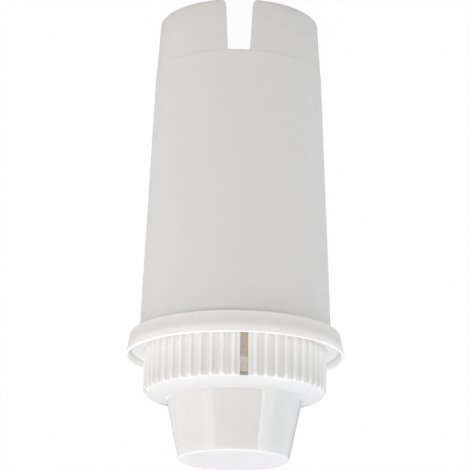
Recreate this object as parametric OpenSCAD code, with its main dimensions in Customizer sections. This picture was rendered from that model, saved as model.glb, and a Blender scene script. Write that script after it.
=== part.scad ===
// Filter cartridge for a water pitcher.
// Millimetres. It stands on its slotted end, +Z is up, and the origin is the middle of the end it stands on.
// Water comes in through the windows of the ribbed ring at the top, runs down through the granules and
// leaves through the grate above the skirt.

/* [Housing tube] */
// Outside radius of the skirt at the end that it stands on
skirt_r = 25.65; // [23:0.05:27]
// Height of the skirt, from the end up to the step and the roots of the notches
skirt_h = 17.55; // [12:0.05:24]
// Outside radius of the skirt where it meets the step
skirt_top_r = 26.75; // [25:0.05:27]
// How far the tube stands out past the skirt at the step
step_w = 0.15; // [0.1:0.05:0.6]
// Outside radius of the tube just under the collar
tube_top_r = 30.2; // [28:0.1:31]
// Wall of the tube and the skirt
housing_wall = 1.45; // [1:0.05:2]
// Radius of the rounded edge that it stands on
skirt_edge_r = 0.2; // [0.1:0.05:0.6]

/* [Notches] */
// Width of each notch at its root
notch_root_w = 7; // [5:0.1:10]
// Width of each notch at the open end
notch_mouth_w = 8.7; // [7:0.1:12]
// Radius in the corners of the root
notch_root_r = 0.6; // [0.3:0.1:1.5]
// Radius where each side of a notch turns into the end of the skirt
notch_mouth_r = 1.8; // [0.5:0.1:3]

/* [Collar] */
// Height of the collar's flat underside above the end
collar_z = 104.15; // [95:0.05:115]
// How far the collar's flat underside stands out from the tube
collar_seat_w = 2.8; // [1.5:0.1:5]
// How much further the collar's rim stands out than its underside
collar_flare = 1.4; // [0.4:0.1:3]
// Height of the collar, from its underside to its rim
collar_h = 7; // [5:0.1:9]
// Thickness of the collar's wall
collar_wall = 0.85; // [0.6:0.05:1.4]
// Thickness of the web that carries the collar
collar_web_t = 1.7; // [1.2:0.1:2.2]

/* [Outlet grate] */
// Gap from the roots of the notches up to the underside of the grate
grate_lift = 0.85; // [0.4:0.05:3]
// Thickness of the grate
grate_t = 1.8; // [1.2:0.1:3]
// Number of ring-shaped rows of slots
grate_rows = 4; // [2:1:5]
// Width of each row of slots
grate_slot_w = 2.2; // [1.2:0.1:3]
// Radius of the plain middle of the grate
grate_hub_r = 3.6; // [2:0.1:6]
// Number of spokes that divide the rows into slots
grate_spokes = 16; // [8:1:24]
// Width of each spoke
grate_spoke_w = 1.2; // [0.8:0.1:2]

/* [Ribbed ring] */
// How far the ring over its ribs stands in from the outside of the tube's mouth
ring_inset = 1.5; // [1:0.1:3]
// Height of the ring from the floor of the collar's trough to where its shoulder starts
ring_h = 12.6; // [10:0.1:16]
// Number of places round the ring, each with a rib or a window
ring_ribs = 52; // [40:4:64]
// Width of a rib at its crest
rib_crest_w = 0.8; // [0.5:0.1:1.2]
// Width of a rib at its root
rib_root_w = 1.4; // [1:0.1:1.8]
// Depth of the grooves between the ribs
groove_d = 0.75; // [0.2:0.05:0.8]
// Wall of the cap
cap_wall = 1.4; // [1:0.05:1.8]
// Radius of the rounded edge between the ring and its shoulder
shoulder_r = 1.6; // [1:0.1:3]
// Turn of the first window round the axis, from the +X side, in degrees
window_turn = 264.3; // [0:0.1:360]
// Number of windows
windows = 4; // [1:1:4]
// Width of a window
window_w = 2.5; // [1.5:0.1:4]
// Height of the sill that is left under a window
window_sill = 0.5; // [0.2:0.1:2]
// How far a window runs up into the rounded shoulder
window_reach = 1.4; // [0.5:0.1:2]
// How far a window is cut in past the bore of the ring
window_back = 0.3; // [0.1:0.05:0.6]

/* [Cap joint] */
// Thickness of the cap's flange, which is the floor of the trough in the collar
flange_t = 1.3; // [1:0.1:1.8]
// Depth of the trough, from the collar's rim to the flange
trough_d = 2.2; // [1.5:0.1:3]
// How far the cap's spigot reaches down into the tube below the flange
spigot_h = 4.2; // [2:0.1:6]
// Clearance round the spigot and round the edge of the flange
weld_gap = 0.15; // [0.05:0.05:0.3]

/* [Knob] */
// Width of the shoulder, from the outside of the ring in to the foot of the knob
shoulder_w = 7.5; // [5:0.1:10]
// Height of the knob's foot above the start of the shoulder
shoulder_rise = 3.25; // [2:0.05:5]
// Height of the knob from its foot to its face
knob_h = 19.05; // [14:0.05:24]
// How much smaller the radius of the knob is at its face than at its foot
knob_draft = 3.9; // [1:0.05:6]
// Radius of the edge round the face
knob_edge_r = 0.6; // [0.3:0.1:1.2]
// Radius in the corner between the knob and the shoulder
knob_foot_fillet = 0.5; // [0.2:0.1:1]
// Radius of the moulding gate mark in the middle of the face
gate_r = 1.3; // [0.8:0.1:2]
// Height of the gate mark
gate_h = 0.15; // [0.05:0.05:0.3]

/* [Inner pieces] */
// Thickness of the inlet screen behind the windows
inlet_screen_t = 0.35; // [0.2:0.05:0.6]
// Thickness of the outlet screen
outlet_screen_t = 0.4; // [0.2:0.05:0.8]
// Thickness of the felt pad under the granules
outlet_pad_t = 2; // [1:0.1:4]
// Thickness of the felt pad on top of the granules
top_pad_t = 1.4; // [1:0.1:3]
// Height of the top of the granules above the floor of the trough
bed_rise = 7.9; // [4:0.1:10]
// Clearance round the screens, pads and granules
fill_gap = 0.05; // [0.02:0.01:0.15]

/* [Hidden] */
$fn = 96;

// A little extra, so that a cut passes right through a face.
past = 1;
// Number of short chords that stand for a rounded edge in an outline.
arc_steps = 6;

// Radii that follow from the driving sizes.
tube_foot_r = skirt_top_r + step_w;
collar_foot_r = tube_top_r + collar_seat_w;
collar_rim_r = collar_foot_r + collar_flare;
ring_r = tube_top_r - ring_inset;
knob_foot_r = ring_r - shoulder_w;
knob_face_r = knob_foot_r - knob_draft;

// Heights, worked up from the end that it stands on.
grate_z = skirt_h + grate_lift;
grate_top_z = grate_z + grate_t;
web_top_z = collar_z + collar_web_t;
rim_z = collar_z + collar_h;
trough_z = rim_z - trough_d;
flange_z = trough_z - flange_t;
mouth_z = flange_z - weld_gap;
spigot_z = flange_z - spigot_h;
shoulder_z = trough_z + ring_h;
knob_foot_z = shoulder_z + shoulder_rise;
face_z = knob_foot_z + knob_h;

// Tapers, as radius gained for each millimetre of height.
tube_taper = (tube_top_r - tube_foot_r) / (collar_z - skirt_h);
collar_taper = collar_flare / collar_h;
knob_taper = knob_draft / knob_h;
function tube_r_at(z) = tube_foot_r + tube_taper * (z - skirt_h);
function collar_r_at(z) = collar_foot_r + collar_taper * (z - collar_z);
function knob_r_at(z) = knob_foot_r - knob_taper * (z - knob_foot_z);

// The mouth of the tube is straight, to take the cap's spigot. Below it the bore tapers down to the grate.
mouth_bore_r = tube_top_r - housing_wall;
mouth_foot_z = spigot_z - weld_gap;
bore_foot_r = tube_r_at(grate_z) - housing_wall;
function bore_r_at(z) =
    bore_foot_r + (mouth_bore_r - bore_foot_r) * (z - grate_z) / (mouth_foot_z - grate_z);
spigot_r = mouth_bore_r - weld_gap;
ring_root_r = ring_r - groove_d;
ring_bore_r = ring_root_r - cap_wall;
spigot_bore_r = spigot_r - cap_wall;

// The shoulder is a cone that runs from the rounded edge of the ring up to the foot of the knob.
shoulder_run = ring_r - shoulder_r - knob_foot_r;
shoulder_turn = atan2(shoulder_rise, -shoulder_run)
    - acos(shoulder_r / sqrt(shoulder_rise * shoulder_rise + shoulder_run * shoulder_run));

// The same edge inside the cap, never quite sharp.
least_inner_r = 0.2;
inner_shoulder_r = max(least_inner_r, shoulder_r - cap_wall);

// The screen's edge is bevelled where it runs up inside the rounded shoulder.
screen_bevel = min(inlet_screen_t + fill_gap, inner_shoulder_r);
screen_tip_z = shoulder_z - fill_gap
    + sqrt(inner_shoulder_r * inner_shoulder_r - pow(inner_shoulder_r - screen_bevel, 2));

// Places of the inner pieces.
bed_z = grate_top_z + outlet_screen_t + outlet_pad_t;
bed_top_z = trough_z + bed_rise;
screen_r = ring_bore_r - fill_gap;
pad_r = screen_r - inlet_screen_t - fill_gap;

// Points along a rounded edge, turning from one angle to another.
function arc(r, z, rad, from, to) =
    [for (i = [0 : arc_steps])
        let (a = from + (to - from) * i / arc_steps)
        [r + rad * cos(a), z + rad * sin(a)]];

// Repeats its children round the axis.
module round_the_axis(count, first = 0) {
    for (i = [0 : count - 1])
        rotate([0, 0, first + i * 360 / count])
            children();
}

// Outline of a notch, drawn across the front of the skirt: X is across and Y is up.
module notch_outline() {
    root = notch_root_w / 2;
    mouth = notch_mouth_w / 2;
    difference() {
        union() {
            polygon([[-mouth, -past], [mouth, -past], [mouth, 0], [root, skirt_h - notch_root_r],
                [root - notch_root_r, skirt_h], [notch_root_r - root, skirt_h],
                [-root, skirt_h - notch_root_r], [-mouth, 0]]);
            for (side = [-1, 1])
                translate([side * (root - notch_root_r), skirt_h - notch_root_r])
                    circle(r = notch_root_r, $fn = 32);
            translate([-mouth - notch_mouth_r, -past])
                square([2 * (mouth + notch_mouth_r), past + notch_mouth_r]);
        }
        for (side = [-1, 1])
            translate([side * (mouth + notch_mouth_r), notch_mouth_r])
                circle(r = notch_mouth_r, $fn = 48);
    }
}

// The outlet grate: a plate with ring-shaped rows of slots, divided by spokes.
module grate() {
    outer = bore_foot_r + housing_wall / 2;
    row_pitch = (bore_foot_r - grate_hub_r) / grate_rows;
    difference() {
        translate([0, 0, grate_z])
            cylinder(r = outer, h = grate_t);
        for (row = [1 : grate_rows])
            difference() {
                translate([0, 0, grate_z - past])
                    cylinder(r = grate_hub_r + row * row_pitch - (row_pitch - grate_slot_w) / 2,
                        h = grate_t + 2 * past);
                translate([0, 0, grate_z - 2 * past])
                    cylinder(r = grate_hub_r + row * row_pitch - (row_pitch + grate_slot_w) / 2,
                        h = grate_t + 4 * past);
                round_the_axis(grate_spokes)
                    translate([0, -grate_spoke_w / 2, grate_z - 2 * past])
                        cube([outer + past, grate_spoke_w, grate_t + 4 * past]);
            }
    }
}

// The tube, its skirt and its collar, as one outline turned round the axis.
module housing_shell() {
    edge = skirt_edge_r;
    foot_bore = skirt_r - housing_wall;
    well_bore = collar_r_at(web_top_z) - collar_wall;
    rotate_extrude()
        polygon(concat(
            arc(skirt_r - edge, edge, edge, -90, 0),
            [[skirt_top_r, skirt_h], [tube_foot_r, skirt_h + step_w], [tube_top_r, collar_z],
             [collar_foot_r, collar_z]],
            arc(collar_rim_r - collar_wall / 2, rim_z - collar_wall / 2, collar_wall / 2, 0, 180),
            [[well_bore, web_top_z], [tube_top_r, web_top_z], [tube_top_r, mouth_z],
             [mouth_bore_r, mouth_z], [mouth_bore_r, mouth_foot_z], [bore_foot_r, grate_z],
             [foot_bore, edge]],
            [[foot_bore + edge, 0]]));
}

module housing() {
    color([0.87, 0.87, 0.86])
        difference() {
            union() {
                housing_shell();
                grate();
            }
            rotate([90, 0, 0])
                translate([0, 0, -skirt_top_r - past])
                    linear_extrude(height = 2 * (skirt_top_r + past))
                        notch_outline();
        }
}

// Outline of the whole cap, before its grooves and windows are cut.
module cap_outline() {
    flange_r = collar_r_at(trough_z) - collar_wall - weld_gap;
    lip_r = collar_r_at(web_top_z) - collar_wall - weld_gap;
    lip_bore = tube_top_r + weld_gap;
    inner_foot_z = knob_foot_z - cap_wall;
    inner_foot_r = knob_r_at(inner_foot_z) - cap_wall;
    polygon(concat(
        [[spigot_bore_r, spigot_z], [spigot_r, spigot_z], [spigot_r, flange_z], [lip_bore, flange_z],
         [lip_bore, web_top_z], [lip_r, web_top_z], [flange_r, trough_z], [ring_r, trough_z]],
        arc(ring_r - shoulder_r, shoulder_z, shoulder_r, 0, shoulder_turn),
        [[knob_foot_r + knob_foot_fillet, knob_foot_z - knob_foot_fillet / tan(shoulder_turn)],
         [knob_r_at(knob_foot_z + knob_foot_fillet), knob_foot_z + knob_foot_fillet]],
        arc(knob_face_r - knob_edge_r, face_z - knob_edge_r, knob_edge_r, 0, 90),
        [[gate_r, face_z], [gate_r, face_z + gate_h], [0, face_z + gate_h], [0, face_z - cap_wall],
         [knob_face_r - cap_wall, face_z - cap_wall], [inner_foot_r, inner_foot_z]],
        arc(ring_bore_r - inner_shoulder_r, shoulder_z, inner_shoulder_r, shoulder_turn, 0),
        [[ring_bore_r, trough_z], [spigot_bore_r, flange_z]]));
}

// The grooves of the ring: a sleeve with the ribs left standing in it.
module grooves() {
    h = ring_h + shoulder_r;
    difference() {
        translate([0, 0, trough_z])
            cylinder(r = ring_r + past, h = h);
        translate([0, 0, trough_z - past])
            cylinder(r = ring_root_r, h = h + 2 * past);
        round_the_axis(ring_ribs, window_turn)
            translate([0, 0, trough_z - past])
                linear_extrude(height = h + 2 * past)
                    polygon([[ring_root_r - past, -rib_root_w / 2], [ring_root_r, -rib_root_w / 2],
                        [ring_r, -rib_crest_w / 2], [ring_r + 2 * past, -rib_crest_w / 2],
                        [ring_r + 2 * past, rib_crest_w / 2], [ring_r, rib_crest_w / 2],
                        [ring_root_r, rib_root_w / 2], [ring_root_r - past, rib_root_w / 2]]);
    }
}

module cap() {
    window_h = ring_h - window_sill + window_reach;
    window_back_r = ring_bore_r - window_back;
    color([0.93, 0.93, 0.93])
        difference() {
            rotate_extrude()
                cap_outline();
            grooves();
            round_the_axis(windows, window_turn)
                translate([window_back_r, -window_w / 2, trough_z + window_sill])
                    cube([ring_r + past - window_back_r, window_w, window_h]);
        }
}

module inlet_screen() {
    color([0.75, 0.69, 0.62])
        rotate_extrude()
            polygon([[screen_r - inlet_screen_t, trough_z], [screen_r, trough_z],
                [screen_r, shoulder_z - fill_gap], [screen_r - inlet_screen_t, screen_tip_z]]);
}

module top_pad() {
    color([0.86, 0.84, 0.8])
        translate([0, 0, bed_top_z])
            cylinder(r = pad_r, h = top_pad_t);
}

// The granules fill the tube, the spigot and the lower part of the ribbed ring.
module filter_media() {
    color([0.5, 0.43, 0.36])
        rotate_extrude()
            polygon([[0, bed_z], [bore_r_at(bed_z) - fill_gap, bed_z],
                [bore_r_at(spigot_z) - fill_gap, spigot_z - fill_gap],
                [spigot_bore_r - fill_gap, spigot_z - fill_gap],
                [spigot_bore_r - fill_gap, flange_z - fill_gap],
                [pad_r, flange_z - fill_gap], [pad_r, bed_top_z], [0, bed_top_z]]);
}

// A disc that fits the bore of the tube at the height where it lies.
module bore_disc(z, thickness) {
    translate([0, 0, z])
        cylinder(r1 = bore_r_at(z) - fill_gap, r2 = bore_r_at(z + thickness) - fill_gap, h = thickness);
}

module outlet_pad() {
    color([0.88, 0.87, 0.84])
        bore_disc(grate_top_z + outlet_screen_t, outlet_pad_t);
}

module outlet_screen() {
    color([0.8, 0.8, 0.78])
        bore_disc(grate_top_z, outlet_screen_t);
}

housing();
cap();
inlet_screen();
top_pad();
filter_media();
outlet_pad();
outlet_screen();
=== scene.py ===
"""Looks of the pitcher filter cartridge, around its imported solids. Lengths are in metres."""
import math

import bpy
from mathutils import Matrix, Vector


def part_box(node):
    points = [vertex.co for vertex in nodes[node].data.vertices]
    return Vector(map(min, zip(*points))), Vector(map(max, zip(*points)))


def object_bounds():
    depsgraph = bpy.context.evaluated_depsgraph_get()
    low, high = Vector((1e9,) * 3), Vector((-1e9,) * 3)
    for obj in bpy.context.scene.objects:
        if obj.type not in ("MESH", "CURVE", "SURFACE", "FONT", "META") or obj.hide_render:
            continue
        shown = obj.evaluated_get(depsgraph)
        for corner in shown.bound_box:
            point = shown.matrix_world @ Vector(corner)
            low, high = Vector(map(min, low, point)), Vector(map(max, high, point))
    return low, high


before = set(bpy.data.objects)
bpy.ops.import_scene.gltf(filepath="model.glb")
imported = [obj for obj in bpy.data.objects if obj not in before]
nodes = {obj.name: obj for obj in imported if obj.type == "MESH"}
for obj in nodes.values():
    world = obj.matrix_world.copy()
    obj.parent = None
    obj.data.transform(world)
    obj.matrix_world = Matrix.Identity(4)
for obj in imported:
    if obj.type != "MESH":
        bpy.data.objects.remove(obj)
cad_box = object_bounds()

# View, by a fit of the outline. The photograph is printed upside down, so the camera is rolled half a turn.
IMAGE_PX = 470
FOCAL_PX = 2197.0
SENSOR_MM = 36.0
AIM = Vector((0.0, 0.0, 0.0702))
CAMERA_DISTANCE = 0.703
CAMERA_ELEVATION = math.radians(16.7)
CAMERA_ROLL = math.radians(180.74)
AIM_PX = (236.55, 233.5)
CAMERA_CLIP = (0.01, 20.0)

# Colours, linear.
WHITE = (1.0, 1.0, 1.0)
# Painted light and shade: one white moulding, with its collar tinted lighter and its tube greyer to stand in for
# how each is lit.
COLLAR_WHITE_PAINTED_LIGHT = (0.905, 0.885, 0.855)
TUBE_GREY_PAINTED_SHADE = (0.755, 0.753, 0.74)
# Painted light and shade: one white moulding, with its ring tinted lighter against the shade of the collar and
# its knob darker.
CAP_WHITE_PAINTED_SHADE = (0.776, 0.776, 0.768)
RING_WHITE_PAINTED_LIGHT = (0.912, 0.912, 0.902)
FELT_WHITE = (0.66, 0.63, 0.57)
RESIN_AMBER = (0.42, 0.27, 0.12)
CARBON_BLACK = (0.02, 0.018, 0.016)
FLOOR_GREY = (0.52, 0.51, 0.505)

# The inlet mesh, by what stands behind it and painted lighter to make up for the shade in its recessed window,
# and the painted shade of the gaps between its threads as a share of that.
MESH_ON_GRANULES_PAINTED_LIGHT = (0.70, 0.62, 0.52)
MESH_ON_FELT_PAINTED_LIGHT = (0.92, 0.87, 0.77)
MESH_ON_SPACE_PAINTED_LIGHT = (0.88, 0.84, 0.76)
MESH_GAPS_PAINTED_SHADE = (0.78, 0.76, 0.71)

# Heights between which each moulding turns from its lower tint to its upper one, both tints being painted light
# and shade.
HOUSING_PAINTED_LIGHT_TURN = (0.1035, 0.1043)
CAP_PAINTED_LIGHT_TURN = (0.1105, 0.1245)

# Moulded plastic: the darkest cloud as a share of the tint, how far its roughness varies, the depth of the
# ripple from the mould, and how much and how far light scatters inside the wall.
CLOUD_SHARE = 0.965
GLOSS_SPREAD = 0.08
RIPPLE_DEPTH = 0.00005
PLASTIC_IOR = 1.49
SCATTER_SHARE = 0.6
SCATTER_RADIUS = (0.003, 0.0029, 0.0028)

# Weave: the pitch of its threads, how light its gaps of painted shade are at least, what a thread's painted light
# and a grain behind it add to that, and how far the edges of what shows through wander up and down and blur.
INLET_PITCH = 0.00035
OUTLET_PITCH = 0.0004
LEAST_LIGHT = 0.45
THREAD_PAINTED_LIGHT = 0.2
GRAIN_LIGHT = 0.5
EDGE_WANDER = 0.0010
EDGE_BLUR = 0.0002

# Bed and felt: grains per metre, the random value above which a grain is carbon, and the darkest fibre as a share
# of the felt's tint.
GRAINS_PER_METRE = 1400.0
CARBON_ABOVE = 0.6
FIBRE_SHARE = 0.75

# Floor: half its side, its gap under the cartridge, and how much of it the camera sees as plain white.
FLOOR_HALF = 3.0
FLOOR_GAP = 0.0002
FLOOR_LIFT = 0.97

# Light. The softboxes round the cartridge give its knob the upright panels of light in the photograph. Each has
# its degrees round from the camera towards +X, then width, watts and colour. Left and right are the photograph's.
# Their powers are fitted to its brightness.
ROOM_STRENGTH = 0.71
LAMP_HEIGHT = 0.22
LAMP_DISTANCE = 0.9
SIDE_LAMP_TALL = 0.45
SIDE_LAMPS = (
    ("left_front", 48, 0.35, 0.81, (0.97, 0.98, 1.0)),
    ("left_mid", 72.5, 0.40, 0.50, (0.95, 1.0, 0.94)),
    ("left_side", 105, 0.66, 0.285, (1.0, 1.0, 1.0)),
    ("left_back", 145, 0.66, 0.42, (0.98, 1.0, 0.93)),
    ("right_front", -64, 0.32, 0.75, (0.93, 0.97, 1.0)),
    ("right_side", -89, 0.48, 0.36, (0.80, 0.94, 1.0)),
    ("right_back", -125, 0.69, 0.47, (0.86, 0.95, 1.0)))


def link_object(name, data):
    """An object for this data, in the scene."""
    thing = bpy.data.objects.new(name, data)
    bpy.context.scene.collection.objects.link(thing)
    return thing


def make_camera():
    """The camera of the photograph."""
    data = bpy.data.cameras.new("camera")
    data.sensor_width = SENSOR_MM
    data.lens = FOCAL_PX / IMAGE_PX * SENSOR_MM
    data.clip_start, data.clip_end = CAMERA_CLIP
    data.shift_x = (IMAGE_PX / 2 - AIM_PX[0]) / IMAGE_PX
    data.shift_y = (AIM_PX[1] - IMAGE_PX / 2) / IMAGE_PX
    camera = link_object("camera", data)
    away = Vector((0.0, -math.cos(CAMERA_ELEVATION), math.sin(CAMERA_ELEVATION)))
    look = (-away).to_track_quat("-Z", "Y").to_matrix().to_4x4()
    place = Matrix.Translation(AIM + away * CAMERA_DISTANCE)
    camera.matrix_world = place @ look @ Matrix.Rotation(CAMERA_ROLL, 4, "Z")
    bpy.context.scene.camera = camera


def new_material(name):
    """A material, with its node tree and its Principled shader."""
    material = bpy.data.materials.new(name)
    material.use_nodes = True
    tree = material.node_tree
    return material, tree, tree.nodes["Principled BSDF"]


def set_inputs(node, **inputs):
    """Sets inputs by name, with _ for a space."""
    for key, value in inputs.items():
        node.inputs[key.replace("_", " ")].default_value = value


def wire(tree, value, target):
    """Joins a socket to an input, or sets the input to a number or a colour."""
    if hasattr(value, "is_output"):
        tree.links.new(value, target)
    elif isinstance(value, tuple):
        target.default_value = (*value, 1.0)
    else:
        target.default_value = value


def math_node(tree, operation, *values):
    """A Math node; each value is a socket or a number."""
    node = tree.nodes.new("ShaderNodeMath")
    node.operation = operation
    for value, target in zip(values, node.inputs):
        wire(tree, value, target)
    return node.outputs[0]


def mix_color(tree, factor, first, second, blend="MIX"):
    """Mix of two colours, each a socket or a colour."""
    node = tree.nodes.new("ShaderNodeMix")
    node.data_type = "RGBA"
    node.blend_type = blend
    for value, i in ((factor, 0), (first, 6), (second, 7)):
        wire(tree, value, node.inputs[i])
    return node.outputs[2]


def mix_shader(tree, factor, first, second):
    """Mix of two shaders."""
    node = tree.nodes.new("ShaderNodeMixShader")
    for i, socket in enumerate((factor, first, second)):
        tree.links.new(socket, node.inputs[i])
    return node.outputs[0]


def object_place(tree):
    """The place of each point in the CAD frame."""
    return tree.nodes.new("ShaderNodeTexCoord").outputs["Object"]


def split_place(tree, place):
    """X, Y and Z of a place."""
    split = tree.nodes.new("ShaderNodeSeparateXYZ")
    tree.links.new(place, split.inputs[0])
    return split.outputs["X"], split.outputs["Y"], split.outputs["Z"]


def pattern(tree, place, kind, **inputs):
    """A texture node of that kind over the place."""
    node = tree.nodes.new(kind)
    set_inputs(node, **inputs)
    tree.links.new(place, node.inputs["Vector"])
    return node


def bump(tree, shader, height, strength, distance, invert=False):
    """Fine relief in the surface, by a pattern of heights."""
    node = tree.nodes.new("ShaderNodeBump")
    set_inputs(node, Strength=strength, Distance=distance)
    node.invert = invert
    tree.links.new(height, node.inputs["Height"])
    tree.links.new(node.outputs["Normal"], shader.inputs["Normal"])


def rise(tree, height, low_to, high_from):
    """0 up to one height and 1 from another, with an even rise between them."""
    level = tree.nodes.new("ShaderNodeMapRange")
    set_inputs(level, From_Min=low_to, From_Max=high_from)
    tree.links.new(height, level.inputs["Value"])
    return level.outputs[0]


def moulded_plastic_painted_light(name, lower_tint_painted_light, upper_tint_painted_light, turn, roughness, ripple, shine):
    """White moulded plastic: cloudy tint, uneven gloss, a faint ripple from the mould, and painted light and
    shade in two tints by height.

    A real moulding has one colour. The two tints are set apart to bring each part of it as near as they can to
    its brightness in the photograph."""
    material, tree, shader = new_material(name)
    place = object_place(tree)
    cloud = pattern(tree, place, "ShaderNodeTexNoise", Scale=45.0, Detail=3.0, Roughness=0.5).outputs["Fac"]
    fine = pattern(tree, place, "ShaderNodeTexNoise", Scale=900.0, Detail=2.0, Roughness=0.6).outputs["Fac"]
    darker = tuple(channel * CLOUD_SHARE for channel in upper_tint_painted_light)
    cloudy_upper_tint_painted_light = mix_color(tree, cloud, darker, upper_tint_painted_light)
    # Painted light and shade: between the two heights the tint turns from the lower one to the upper one.
    level = rise(tree, split_place(tree, place)[2], *turn)
    tree.links.new(mix_color(tree, level, lower_tint_painted_light, cloudy_upper_tint_painted_light), shader.inputs["Base Color"])
    gloss = math_node(tree, "MULTIPLY_ADD", cloud, GLOSS_SPREAD, roughness - GLOSS_SPREAD / 2)
    tree.links.new(gloss, shader.inputs["Roughness"])
    bump(tree, shader, fine, strength=ripple, distance=RIPPLE_DEPTH)
    set_inputs(
        shader, IOR=PLASTIC_IOR, Specular_IOR_Level=shine, Subsurface_Weight=SCATTER_SHARE,
        Subsurface_Radius=SCATTER_RADIUS, Subsurface_Scale=1.0)
    return material


def seen_through_mesh_painted_light(tree, height):
    """Tint of the inlet mesh: granules, the pad on them and the clear space above, where those solids lie, each
    painted lighter against the shade of the recessed window.
    """
    bed_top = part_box("filter_media")[1][2]
    pad_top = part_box("top_pad")[1][2]
    on_felt = rise(tree, height, bed_top - EDGE_BLUR, bed_top + EDGE_BLUR)
    on_space = rise(tree, height, pad_top - EDGE_BLUR, pad_top + EDGE_BLUR)
    lower = mix_color(tree, on_felt, MESH_ON_GRANULES_PAINTED_LIGHT, MESH_ON_FELT_PAINTED_LIGHT)
    return mix_color(tree, on_space, lower, MESH_ON_SPACE_PAINTED_LIGHT)


def woven_mesh(name, pitch, color=None):
    """Fine plain weave with painted shade between its threads: flat in one colour, or without a colour the inlet
    mesh, which runs round the axis.
    """
    material, tree, shader = new_material(name)
    place = object_place(tree)
    x, y, z = split_place(tree, place)
    per_metre = 2 * math.pi / pitch
    if color is None:
        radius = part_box("inlet_screen")[1][0]
        warp = math_node(tree, "MULTIPLY", math_node(tree, "ARCTAN2", y, x), round(per_metre * radius))
        weft = math_node(tree, "MULTIPLY", z, per_metre)
        wander = pattern(tree, place, "ShaderNodeTexNoise", Scale=350.0, Detail=2.0).outputs["Fac"]
        middle = math_node(tree, "SUBTRACT", z, EDGE_WANDER / 2)
        color = seen_through_mesh_painted_light(tree, math_node(tree, "MULTIPLY_ADD", wander, EDGE_WANDER, middle))
    else:
        warp = math_node(tree, "MULTIPLY", x, per_metre)
        weft = math_node(tree, "MULTIPLY", y, per_metre)
    # Painted light and shade: the threads lighter, the gaps between them darker.
    thread = math_node(tree, "MAXIMUM", math_node(tree, "SINE", warp), math_node(tree, "SINE", weft))
    grains = pattern(tree, place, "ShaderNodeTexVoronoi", Scale=GRAINS_PER_METRE).outputs["Distance"]
    lit = math_node(tree, "MULTIPLY_ADD", thread, THREAD_PAINTED_LIGHT, LEAST_LIGHT)
    speck = math_node(tree, "MULTIPLY_ADD", grains, GRAIN_LIGHT, lit)
    shade = mix_color(tree, speck, MESH_GAPS_PAINTED_SHADE, WHITE)
    tree.links.new(mix_color(tree, 1.0, color, shade, "MULTIPLY"), shader.inputs["Base Color"])
    bump(tree, shader, thread, strength=0.6, distance=0.0001)
    set_inputs(shader, Roughness=0.6)
    return material


def felt(name, color):
    """Matted fibre."""
    material, tree, shader = new_material(name)
    fibre = pattern(
        tree, object_place(tree), "ShaderNodeTexNoise", Scale=1500.0, Detail=4.0, Distortion=2.0).outputs["Fac"]
    darker = tuple(channel * FIBRE_SHARE for channel in color)
    tree.links.new(mix_color(tree, fibre, darker, color), shader.inputs["Base Color"])
    bump(tree, shader, fibre, strength=0.8, distance=0.0002)
    set_inputs(shader, Roughness=0.9, Sheen_Weight=0.3)
    return material


def granules(name):
    """Packed grains: amber resin beads among black carbon."""
    material, tree, shader = new_material(name)
    cells = pattern(tree, object_place(tree), "ShaderNodeTexVoronoi", Scale=GRAINS_PER_METRE)
    split = tree.nodes.new("ShaderNodeSeparateColor")
    tree.links.new(cells.outputs["Color"], split.inputs[0])
    is_carbon = math_node(tree, "GREATER_THAN", split.outputs["Red"], CARBON_ABOVE)
    tree.links.new(mix_color(tree, is_carbon, RESIN_AMBER, CARBON_BLACK), shader.inputs["Base Color"])
    bump(tree, shader, cells.outputs["Distance"], strength=1.0, distance=0.0005, invert=True)
    set_inputs(shader, Roughness=0.5)
    return material


def dress(node, material):
    """Gives a CAD node its material."""
    mesh = nodes[node].data
    mesh.materials.clear()
    mesh.materials.append(material)


def backdrop_material(name, color, lift):
    """A matte surface that the camera sees mostly as plain white, with its shadow kept faint."""
    material, tree, shader = new_material(name)
    set_inputs(shader, Base_Color=(*color, 1.0), Roughness=1.0, Specular_IOR_Level=0.0)
    glow = tree.nodes.new("ShaderNodeEmission")
    rays = tree.nodes.new("ShaderNodeLightPath")
    seen = math_node(tree, "MULTIPLY", rays.outputs["Is Camera Ray"], lift)
    surface = mix_shader(tree, seen, shader.outputs[0], glow.outputs[0])
    tree.links.new(surface, tree.nodes["Material Output"].inputs["Surface"])
    return material


def make_floor():
    """The pale floor that it stands on."""
    mesh = bpy.data.meshes.new("floor")
    corners = [(x * FLOOR_HALF, y * FLOOR_HALF, 0) for x, y in ((-1, -1), (1, -1), (1, 1), (-1, 1))]
    mesh.from_pydata(corners, [], [(0, 1, 2, 3)])
    floor = link_object("floor", mesh)
    floor.location.z = cad_box[0][2] - FLOOR_GAP
    mesh.materials.append(backdrop_material("floor", FLOOR_GREY, FLOOR_LIFT))


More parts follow.
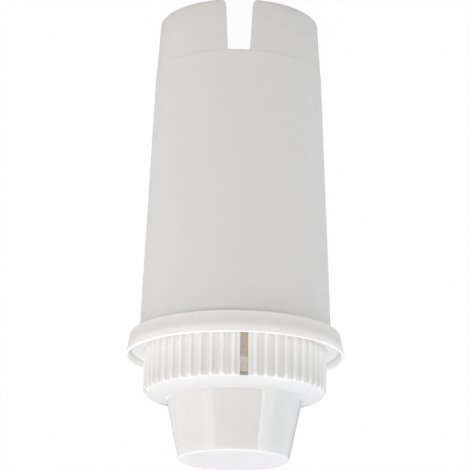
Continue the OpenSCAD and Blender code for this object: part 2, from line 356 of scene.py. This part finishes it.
def softbox(name, azimuth, size, power, color, height=LAMP_HEIGHT, distance=LAMP_DISTANCE):
    """An area lamp that faces the cartridge, azimuth degrees round from the camera towards +X."""
    data = bpy.data.lights.new(name, "AREA")
    data.shape = "RECTANGLE"
    data.size, data.size_y = size
    data.energy = power
    data.color = color
    lamp = link_object(name, data)
    turn = math.radians(azimuth)
    spot = Vector((math.sin(turn) * distance, -math.cos(turn) * distance, height))
    look = (AIM - spot).to_track_quat("-Z", "Y").to_matrix().to_4x4()
    lamp.matrix_world = Matrix.Translation(spot) @ look


def make_light():
    """Soft studio light: a pale room that the camera sees as white, softboxes at the sides, a narrow strip on the
    right, one box overhead and a fill from the front."""
    world = bpy.data.worlds.new("studio")
    bpy.context.scene.world = world
    world.use_nodes = True
    tree = world.node_tree
    room = tree.nodes["Background"]
    set_inputs(room, Color=(*WHITE, 1.0), Strength=ROOM_STRENGTH)
    white = tree.nodes.new("ShaderNodeBackground")
    set_inputs(white, Color=(*WHITE, 1.0), Strength=1.0)
    rays = tree.nodes.new("ShaderNodeLightPath")
    surface = mix_shader(tree, rays.outputs["Is Camera Ray"], room.outputs[0], white.outputs[0])
    tree.links.new(surface, tree.nodes["World Output"].inputs["Surface"])
    for name, azimuth, width, power, color in SIDE_LAMPS:
        softbox(name, azimuth, (width, SIDE_LAMP_TALL), power, color)
    softbox("right_edge", -51.5, (0.07, 0.22), 0.17, WHITE)
    softbox("top_box", 180, (1.2, 1.2), 5.2, (0.89, 0.89, 1.0), height=0.9, distance=0.1)
    softbox("front_fill", 25, (0.9, 0.35), 1.65, (1.0, 0.90, 0.70), height=0.6)


make_camera()
make_light()
make_floor()
dress("housing", moulded_plastic_painted_light(
    "housing_plastic", TUBE_GREY_PAINTED_SHADE, COLLAR_WHITE_PAINTED_LIGHT, HOUSING_PAINTED_LIGHT_TURN, roughness=0.3, ripple=0.15, shine=0.35))
dress("cap", moulded_plastic_painted_light(
    "cap_plastic", RING_WHITE_PAINTED_LIGHT, CAP_WHITE_PAINTED_SHADE, CAP_PAINTED_LIGHT_TURN, roughness=0.09, ripple=0.03, shine=0.55))
dress("inlet_screen", woven_mesh("inlet_mesh", INLET_PITCH))
dress("outlet_screen", woven_mesh("outlet_mesh", OUTLET_PITCH, color=FELT_WHITE))
dress("top_pad", felt("top_felt", FELT_WHITE))
dress("outlet_pad", felt("outlet_felt", FELT_WHITE))
dress("filter_media", granules("granules"))

bpy.context.scene.view_settings.view_transform = "Standard"
